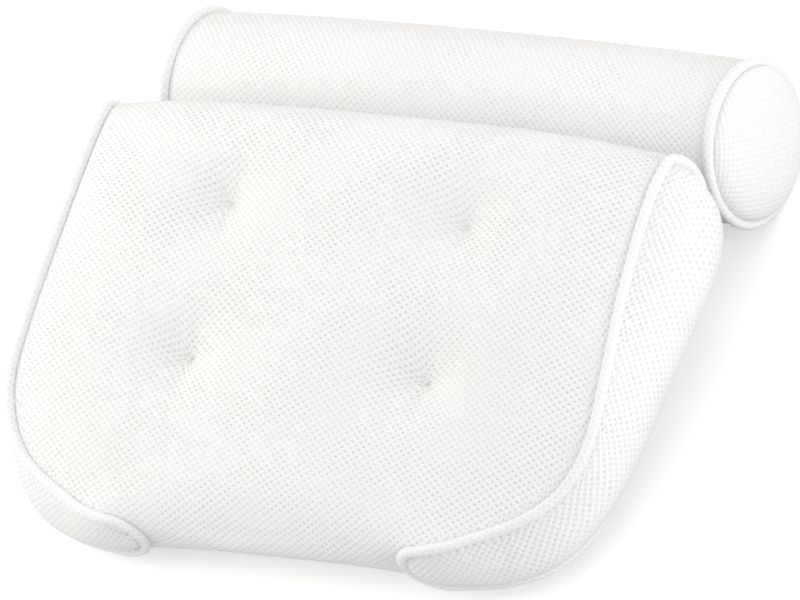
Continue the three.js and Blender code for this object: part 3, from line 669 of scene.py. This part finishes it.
# The outer side of a cover panel, added to the base
def outerPanel(node, fill, slot, base):
    panel = cadCopy(node)
    inner = [v for v in panel.verts if fill.find_nearest(v.co)[3] < cushionSetup["outerSide"]]
    bmesh.ops.delete(panel, geom=inner, context="VERTS")
    bmesh.ops.join_triangles(panel, faces=panel.faces, angle_face_threshold=math.pi,
                             angle_shape_threshold=math.pi, topology_influence=1.0)
    for face in panel.faces:
        face.material_index = slot
    mesh = bpy.data.meshes.new(node)
    panel.to_mesh(mesh)
    panel.free()
    base.from_mesh(mesh)
    bpy.data.meshes.remove(mesh)


# All panels sewn to one closed cover; returns it with the indices of its seam vertices
def sewnCushion():
    s = cushionSetup
    fillShape = cadCopy("cushion_core")
    fill = BVHTree.FromBMesh(fillShape)
    fillShape.free()
    base = bmesh.new()
    for slot, node in enumerate(s["panels"]):
        outerPanel(node, fill, slot, base)
    bmesh.ops.remove_doubles(base, verts=base.verts, dist=s["panelGap"])
    # close the hem, from the underside to the back panel
    hem = []
    for edge in base.edges:
        a, b = (cushionBack @ v.co for v in edge.verts)
        if edge.is_boundary and min(a.y, b.y) > s["hemBack"] and max(a.z, b.z) < s["hemHeight"]:
            if abs(a.x - b.x) > s["hemAlong"] * (a - b).length:
                hem.append(edge)
    for face in bmesh.ops.bridge_loops(base, edges=hem)["faces"]:
        face.material_index = s["backSlot"]
    # close the seams below the piping, one strip each side
    for sign in (-1, 1):
        edges = [e for e in base.edges if e.is_boundary and sign * e.verts[0].co.x > 0]
        strip = bmesh.ops.bridge_loops(base, edges=edges)
        for face in strip["faces"]:
            face.material_index = s["seamSlot"]
    across = [e for e in base.edges if all(f.material_index == s["seamSlot"] for f in e.link_faces)]
    cut = bmesh.ops.subdivide_edges(base, edges=across, cuts=1, use_grid_fill=True)
    seam = [g for g in cut["geom_inner"] if isinstance(g, bmesh.types.BMVert)]
    print("seam strip:", len(across), "edges across,", len(seam), "seam points,",
          sum(e.is_boundary for e in base.edges), "open edges")
    bmesh.ops.recalc_face_normals(base, faces=base.faces)
    base.normal_update()
    for vertex in seam:
        line = seamLines["right" if vertex.co.x > 0 else "left"]
        nearest = min(line, key=lambda place: (place - vertex.co).length)
        vertex.co = nearest - vertex.normal * s["seamDrop"]
    base.verts.index_update()
    return base, [vertex.index for vertex in seam]


# Distance along a line of the cover, measured from its second point
def fromSeam(line, y, z):
    (y0, z0), (y1, z1) = line[:2]
    return alongLine(line, y, z)[1] - math.hypot(y1 - y0, z1 - z0)


def halfHeight(y):
    return cushionSetup["sideHalf"] + cushionSetup["sideFall"] * y


# Upper and lower length of each cushion piping, without its short ends, by their way along the gusset
def splitSeams():
    s = cushionSetup
    parts = {}
    for side, line in seamLines.items():
        halves = {"upper": [], "lower": []}
        for place in line:
            x, y, z = cushionBack @ place
            share = z / halfHeight(y)
            high, low = s["backParts"] if y > s["backFrom"] else s["sideParts"]
            run = alongLine(s["sideWay"], abs(x), y)[1]
            if share > high:
                halves["upper"].append((run, tuple(place)))
            elif share < low:
                halves["lower"].append((run, tuple(place)))
        for name, places in halves.items():
            places.sort()
            parts[side, name] = [run for run, place in places], [Vector(place) for run, place in places]
    return parts


seamHalves = splitSeams()


# Place on one half of a seam that is this far along the gusset
def seamBeside(side, name, run):
    runs, places = seamHalves[side, name]
    index = min(max(bisect(runs, run), 1), len(runs) - 1)
    share = (run - runs[index - 1]) / max(runs[index] - runs[index - 1], sameSpot)
    return places[index - 1].lerp(places[index], min(1, max(0, share)))


# Way down a gusset, measured over its swell from the upper and from the lower piping
def downGusset(place, run):
    x, y, z = cushionBack @ place
    side = "right" if x > 0 else "left"
    near = seamBeside(side, "upper", run)
    high = (cushionBack @ near).z - (near - place).length
    near = seamBeside(side, "lower", run)
    low = (cushionBack @ near).z + (near - place).length
    half = halfHeight(y)
    share = min(1, max(0, (z - half) / (half * cushionSetup["sideBlend"]) + 0.5))
    return low + (high - low) * share


# Place in the cloth of a place on the cover; the tufts pull the face's cloth together
def clothWayAt(slot, place):
    s = cushionSetup
    x, y, z = cushionBack @ place
    if slot in s["gussetSlots"]:
        run = alongLine(s["sideWay"], abs(x), y)[1]
        return Vector((run, downGusset(place, run) * s["sideSqueeze"]))
    if slot == s["backSlot"]:
        return Vector((x, -fromSeam(s["backWay"], y, z)))
    way = Vector((x, fromSeam(s["faceWay"], y, z)))
    if z > s["faceLow"]:
        for tuftX, tuftY in s["tufts"]:
            off = Vector((x - tuftX, tuftY - y))
            if off.length > sameSpot:
                way += off.normalized() * s["tuftPull"] * math.exp(-off.length / s["tuftPullReach"])
    return way


def layCloth(piece):
    s = cushionSetup
    mesh = piece.data
    cover = mesh.uv_layers.new(name="clothWay")
    for face in mesh.polygons:
        slot = face.material_index
        if slot == s["seamSlot"]:
            slot = s["wrapSlot"] if abs(face.center.x) < s["stripTurn"] else s["gussetSlots"][0]
        for corner in face.loop_indices:
            place = mesh.vertices[mesh.loops[corner].vertex_index].co
            cover.data[corner].uv = clothWayAt(slot, place)


# Way from the nearest tuft, in the plane of the face
def fromTuft(place):
    x, y, z = cushionBack @ place
    if z < cushionSetup["faceLow"]:
        return None
    ways = [Vector((x - tuftX, y - tuftY)) for tuftX, tuftY in cushionSetup["tufts"]]
    off = min(ways, key=lambda way: way.length)
    return off if off.length < cushionSetup["hollowReach"] * cushionSetup["hollowEnd"] else None


# Finer faces round each tuft, then a pinched hollow with small folds that run into it
def pinchTufts(piece):
    s = cushionSetup
    shape = bmesh.new()
    shape.from_mesh(piece.data)
    near = []
    for edge in shape.edges:
        off = fromTuft((edge.verts[0].co + edge.verts[1].co) / 2)
        if off is not None and off.length < s["tuftFine"]:
            near.append(edge)
    bmesh.ops.subdivide_edges(shape, edges=near, cuts=s["tuftCuts"], use_grid_fill=True, smooth=1.0)
    shape.to_mesh(piece.data)
    shape.free()
    piece.data.shade_smooth()
    layCloth(piece)
    inward = -(cushionTurn.to_3x3() @ Vector((0, 0, 1)))
    for vertex in piece.data.vertices:
        off = fromTuft(vertex.co)
        if off is None:
            continue
        far = off.length
        turn = math.atan2(off.y, off.x) * s["tuftFolds"] + s["tuftFoldSkew"] * off.x
        fade = math.exp(-far / (s["tuftFoldReach"] * s["tuftReach"]))
        fold = s["tuftFoldDepth"] * math.sin(turn) * min(1, far / s["tuftReach"]) * fade
        hollow = s["hollowDepth"] * math.exp(-(far / s["hollowReach"]) ** 2)
        pit = s["tuftDepth"] * math.exp(-math.hypot(far, s["tuftRound"]) / s["tuftReach"])
        vertex.co += inward * (pit + hollow + fold)


# Draw the cloth to the piping, which its own smoothing cuts short where the seam turns sharply
def meetPiping(piece):
    reach = cushionSetup["seamReach"]
    middles = [v for v in piece.data.vertices if any(group.weight > 0.99 for group in v.groups)]
    near = treeOf([vertex.co for vertex in middles])
    ways = []
    for vertex in middles:
        line = seamLines["right" if vertex.co.x > 0 else "left"]
        first = min(range(len(line)), key=lambda i: (line[i] - vertex.co).length_squared)
        best = line[first]
        for other in (line[first - 1], line[(first + 1) % len(line)]):
            place, share = intersect_point_line(vertex.co, line[first], other)
            if 0 < share < 1 and (place - vertex.co).length < (best - vertex.co).length:
                best = place
        ways.append(best - vertex.normal * cushionSetup["seamDrop"] - vertex.co)
    print("cloth drawn to the piping by up to", round(max(way.length for way in ways) * 1000, 1), "mm")
    moves = []
    for vertex in piece.data.vertices:
        place, index, far = near.find(vertex.co)
        if far < reach:
            moves.append((vertex, ways[index] * (1 - far / reach)))
    for vertex, way in moves:
        vertex.co += way
    piece.data.update()


# Draw the hem to the web that is sewn into it
def meetWeb(piece):
    s = cushionSetup
    low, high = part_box("hinge_web")
    mesh = piece.data
    surface = BVHTree.FromPolygons([tuple(v.co) for v in mesh.vertices],
                                   [tuple(p.vertices) for p in mesh.polygons])
    reach, half = s["hemReach"], s["hemHalf"]
    moves = []
    for vertex in mesh.vertices:
        aim = Vector((vertex.co.x, low.y + s["hemInset"], (low.z + high.z) / 2))
        far = (aim - vertex.co).length
        if far < reach and abs(aim.x) < half:
            way = aim - surface.find_nearest(aim)[0]
            ends = min(1, (half - abs(aim.x)) / reach)
            moves.append((vertex, way * min(1, s["hemShare"] * (1 - far / reach)) * ends))
    furthest = max(way.length for vertex, way in moves)
    print("hem drawn to the web by up to", round(furthest * 1000, 1), "mm")
    for vertex, way in moves:
        vertex.co += way
    mesh.update()


# Shares by which the simulation holds the cover, at its seams and tufts
def heldShares(piece, seams):
    s = cushionSetup
    held = {}
    for vertex in piece.data.vertices:
        off = seams.find(vertex.co)[2]
        if off < s["heldReach"]:
            held[vertex.index] = 1.0 if off < s["heldFull"] else (s["heldReach"] - off) / s["heldFade"]
        x, y, z = cushionBack @ vertex.co
        for tuftX, tuftY in s["tufts"]:
            if z > s["faceLow"] and math.hypot(x - tuftX, y - tuftY) < s["tuftSpot"]:
                held[vertex.index] = 1.0
    return held


# Cloth tucked in beside the seams, then fuller shoulders and a fuller upper edge
def fillOut(piece, seams):
    s = cushionSetup
    tucks = []
    for vertex in piece.data.vertices:
        off = seams.find(vertex.co)[2]
        if off < s["seamTuckReach"]:
            share = 1 - off / s["seamTuckReach"]
            tucks.append((vertex, -vertex.normal * s["seamTuck"] * share))
    for vertex, way in tucks:
        vertex.co += way
    up = cushionTurn.to_3x3() @ Vector((0, 0, 1))
    for vertex in piece.data.vertices:
        x, y, z = cushionBack @ vertex.co
        far = (Vector((abs(x), y, z)) - Vector(s["shoulder"])).length / s["shoulderReach"]
        off = seams.find(vertex.co)[2]
        free = min(1, max(0, (off - s["freeFrom"]) / s["freeOver"]))
        if abs(x) > s["shoulderFrom"]:
            vertex.co.x += math.copysign(s["shoulderSwell"] * math.exp(-far * far) * free, x)
        if z > s["faceLow"]:
            rise = math.exp(-((y - s["topMiddle"]) / s["topReach"]) ** 2) * free
            vertex.co += up * s["topSwell"] * rise * max(0, 1 - (x / s["topHalf"]) ** 4)


def makeCushion():
    base, seam = sewnCushion()
    piece = smoothObject("cushionCover", base, [faceMesh, faceMesh, sideMesh, sideMesh, faceMesh])
    piece.vertex_groups.new(name="seam").add(seam, 1.0, "REPLACE")
    subdivided(piece, 2)
    applied(piece)
    meetPiping(piece)
    piece.vertex_groups.clear()
    seams = treeOf(seamLines["left"] + seamLines["right"])
    held = heldShares(piece, seams)
    fillOut(piece, seams)
    swell(piece, held, cushionSetup["swell"])
    pinchTufts(piece)
    meetWeb(piece)
    subdivided(piece, 1)
    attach(piece, "back_cushion")
    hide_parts("cushion_core", *cushionSetup["panels"])
    return piece


tieSetup = {
    "thread": 0.0005, "knot": 0.0014, "below": 0.0035, "foot": 0.0032, "near": 0.06, "steps": 16,
    "knotShares": [(0, 0), (0.7, 0.3), (1, 1), (0.7, 1.7)],   # outwards and inwards along the thread
}


# Thread from the bottom of a tuft to the underside, with a round knot at both ends
def makeTie(name, x, y, cover):
    s = tieSetup
    aim = Vector((x, y, s["near"]))
    upper = [v for v in cover.data.vertices if v.co.z > cushionSetup["faceLow"]]
    near = min(upper, key=lambda v: ((cushionBack @ v.co) - aim).length)
    top = (cushionBack @ near.co).z - s["below"]
    knot = s["knot"]
    line = [(knot * out, top - knot * down) for out, down in s["knotShares"]]
    line += [(s["thread"], top - 2 * knot), (s["thread"], 2 * knot)]
    line += [(knot * out, knot * up) for out, up in reversed(s["knotShares"])]
    shape = turned([(r, 0, z + s["foot"]) for r, z in line], s["steps"])
    bmesh.ops.transform(shape, matrix=cushionTurn @ Matrix.Translation((x, y, 0)), verts=shape.verts)
    piece = smoothObject("tuftTie." + name, shape, [tieThread])
    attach(piece, "back_cushion")
    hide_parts("tuft_tie_" + name)


cushionCover = makeCushion()
for (x, y), name in zip(cushionSetup["tufts"], ("rear_left", "rear_right", "front_left", "front_right")):
    makeTie(name, x, y, cushionCover)
print("cushion sewn and filled")

# Head roll, spun about its own length

rollSetup = {
    "centre": (0.12186, 0.0465),
    "halfLength": 0.173, "seamRadius": 0.0425, "seamInset": 0.0012, "seamEdge": 0.0036,
    "crown": 0.004, "crownPower": 0.62, "rings": 24, "steps": 96, "girthRadius": 0.0465, "heldReach": 0.006,
    # domed end: its height, and its line as shares of the seam's radius and of the height
    "endSwell": 0.0145,
    "endShares": [(0, 1), (0.13, 0.998), (0.28, 0.985), (0.44, 0.95), (0.6, 0.88), (0.76, 0.75),
                  (0.88, 0.58), (0.955, 0.39), (0.975, 0.24), (0.965, 0.12)],
    "swell": {"quality": 6, "stiffness": 12, "bending": 0.4, "pressure": 4.0, "slack": 0.0, "steps": 20,
              "reach": 0.002},
}


# Line of the roll's cover, from the middle of one end cap to the other's
def rollProfile():
    s = rollSetup
    line = [(-s["halfLength"] - s["endSwell"] * high, s["seamRadius"] * out)
            for out, high in s["endShares"]]
    line.append((-s["halfLength"], s["seamRadius"] - s["seamInset"]))
    cap = line[:]
    for i in range(s["rings"] + 1):
        x = -math.cos(math.pi * i / s["rings"]) * (s["halfLength"] - s["seamEdge"])
        line.append((x, s["seamRadius"] + s["crown"] * (1 - (x / s["halfLength"]) ** 2) ** s["crownPower"]))
    return line + [(-x, r) for x, r in reversed(cap)]


def makeRoll():
    s = rollSetup
    line = rollProfile()
    shape = turned([(x, s["centre"][0] + r, s["centre"][1]) for x, r in line], s["steps"],
                   centre=(0, *s["centre"]), axis=(1, 0, 0))
    for face in shape.faces:
        x = face.calc_center_median().x
        face.material_index = 0 if abs(x) < s["halfLength"] else 1
    cover = shape.loops.layers.uv.new("clothWay")
    for face in shape.faces:
        middle = face.calc_center_median()
        base = math.atan2(middle.z - s["centre"][1], middle.y - s["centre"][0])
        for loop in face.loops:
            x, y, z = loop.vert.co
            y, z = y - s["centre"][0], z - s["centre"][1]
            if face.material_index == 0:
                turn = math.atan2(z, y)
                turn += math.tau * round((base - turn) / math.tau)
                loop[cover].uv = (x, turn * s["girthRadius"])
            else:   # measured along the cap from its middle
                run = 0.0
                out = math.hypot(y, z)
                for (x0, r0), (x1, r1) in zip(line, line[1:]):
                    if x0 + sameSpot >= -abs(x):
                        break
                    run += math.hypot(x1 - x0, r1 - r0)
                loop[cover].uv = (y * run / max(out, sameSpot), z * run / max(out, sameSpot))
    piece = smoothObject("rollCover", shape, [rollMesh, endMesh])
    held = {}
    for vertex in piece.data.vertices:
        off = abs(abs(vertex.co.x) - s["halfLength"])
        far = math.hypot(vertex.co.y - s["centre"][0], vertex.co.z - s["centre"][1])
        if off < s["heldReach"] and far > s["seamRadius"] - s["heldReach"]:
            held[vertex.index] = 1.0
    swell(piece, held, s["swell"])
    subdivided(piece, 1)
    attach(piece, "head_roll")
    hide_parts("roll_core", "roll_wrap", "roll_end_left", "roll_end_right")


makeRoll()
for side in ("left", "right"):
    pipingTube("rollPiping." + side, "roll_piping_" + side, "head_roll", "roll_core")
print("head roll sewn and filled")

# Hinge web, a strip of the cover's mesh

webSetup = {
    "halfLength": 0.150, "thickness": 0.002, "rise": 0.0006, "sag": 0.0006,
    "stepsAlong": 40, "stepsAcross": 6,
}


def makeWeb():
    s = webSetup
    low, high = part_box("hinge_web")
    middle = (low.z + high.z) / 2
    start = Vector((0, low.y, middle - s["rise"]))   # at the cushion's hem
    end = Vector((0, high.y, middle + s["rise"]))    # at the roll
    shape = bmesh.new()
    bmesh.ops.create_grid(shape, x_segments=s["stepsAlong"], y_segments=s["stepsAcross"], size=0.5)
    cover = shape.loops.layers.uv.new("clothWay")
    for vertex in shape.verts:
        share = vertex.co.y + 0.5
        place = start.lerp(end, share)
        place.x = vertex.co.x * 2 * s["halfLength"]
        place.z -= s["sag"] * math.sin(math.pi * share)
        vertex.co = place
    for face in shape.faces:
        for loop in face.loops:
            loop[cover].uv = (loop.vert.co.x, loop.vert.co.y)
    bmesh.ops.solidify(shape, geom=shape.faces[:], thickness=s["thickness"])
    piece = smoothObject("hingeWebCloth", shape, [rollMesh])
    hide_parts("hinge_web")
    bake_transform(piece)


makeWeb()
print("hinge web sewn")

# Suction cups, each turned about its own middle line

cupSetup = {
    "steps": 64,
    # distance from the middle line and depth below the cushion: head, neck and lip with rounded edges
    "line": [
        (0.0, 0.0009), (0.0060, 0.0009), (0.0066, 0.0012), (0.0066, 0.0026), (0.0061, 0.0029),
        (0.0041, 0.0029), (0.0038, 0.0032), (0.0038, 0.0052), (0.0042, 0.0055), (0.0084, 0.0055),
        (0.0090, 0.0057), (0.0102, 0.00605), (0.0122, 0.00716), (0.0155, 0.0095), (0.0191, 0.0117),
        (0.0216, 0.0127), (0.0220, 0.0129), (0.0220, 0.0132), (0.0218, 0.0133), (0.0204, 0.0133),
        (0.0200, 0.0131), (0.0145, 0.0112), (0.0077, 0.01024), (0.0, 0.0099),
    ],
}


def makeCup(name):
    s = cupSetup
    shape = cadCopy("suction_cup_" + name)
    middle = sum((v.co for v in shape.verts), Vector()) / len(shape.verts)
    shape.free()
    place = cushionBack @ middle
    shape = turned([(r, 0, -down) for r, down in s["line"]], s["steps"])
    bmesh.ops.transform(shape, matrix=cushionTurn @ Matrix.Translation((place.x, place.y, 0)),
                        verts=shape.verts)
    piece = smoothObject("suctionCup." + name, shape, [milkyVinyl])
    subdivided(piece, 1)
    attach(piece, "cup_" + name)
    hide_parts("suction_cup_" + name)


for row in ("front", "rear"):
    for column in ("left", "middle", "right"):
        makeCup(row + "_" + column)
print("suction cups turned")

# The tabs keep their solids, in cloth
for name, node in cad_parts.items():
    if name.startswith("cup_tab"):
        node.data.materials.clear()
        node.data.materials.append(tabCloth)
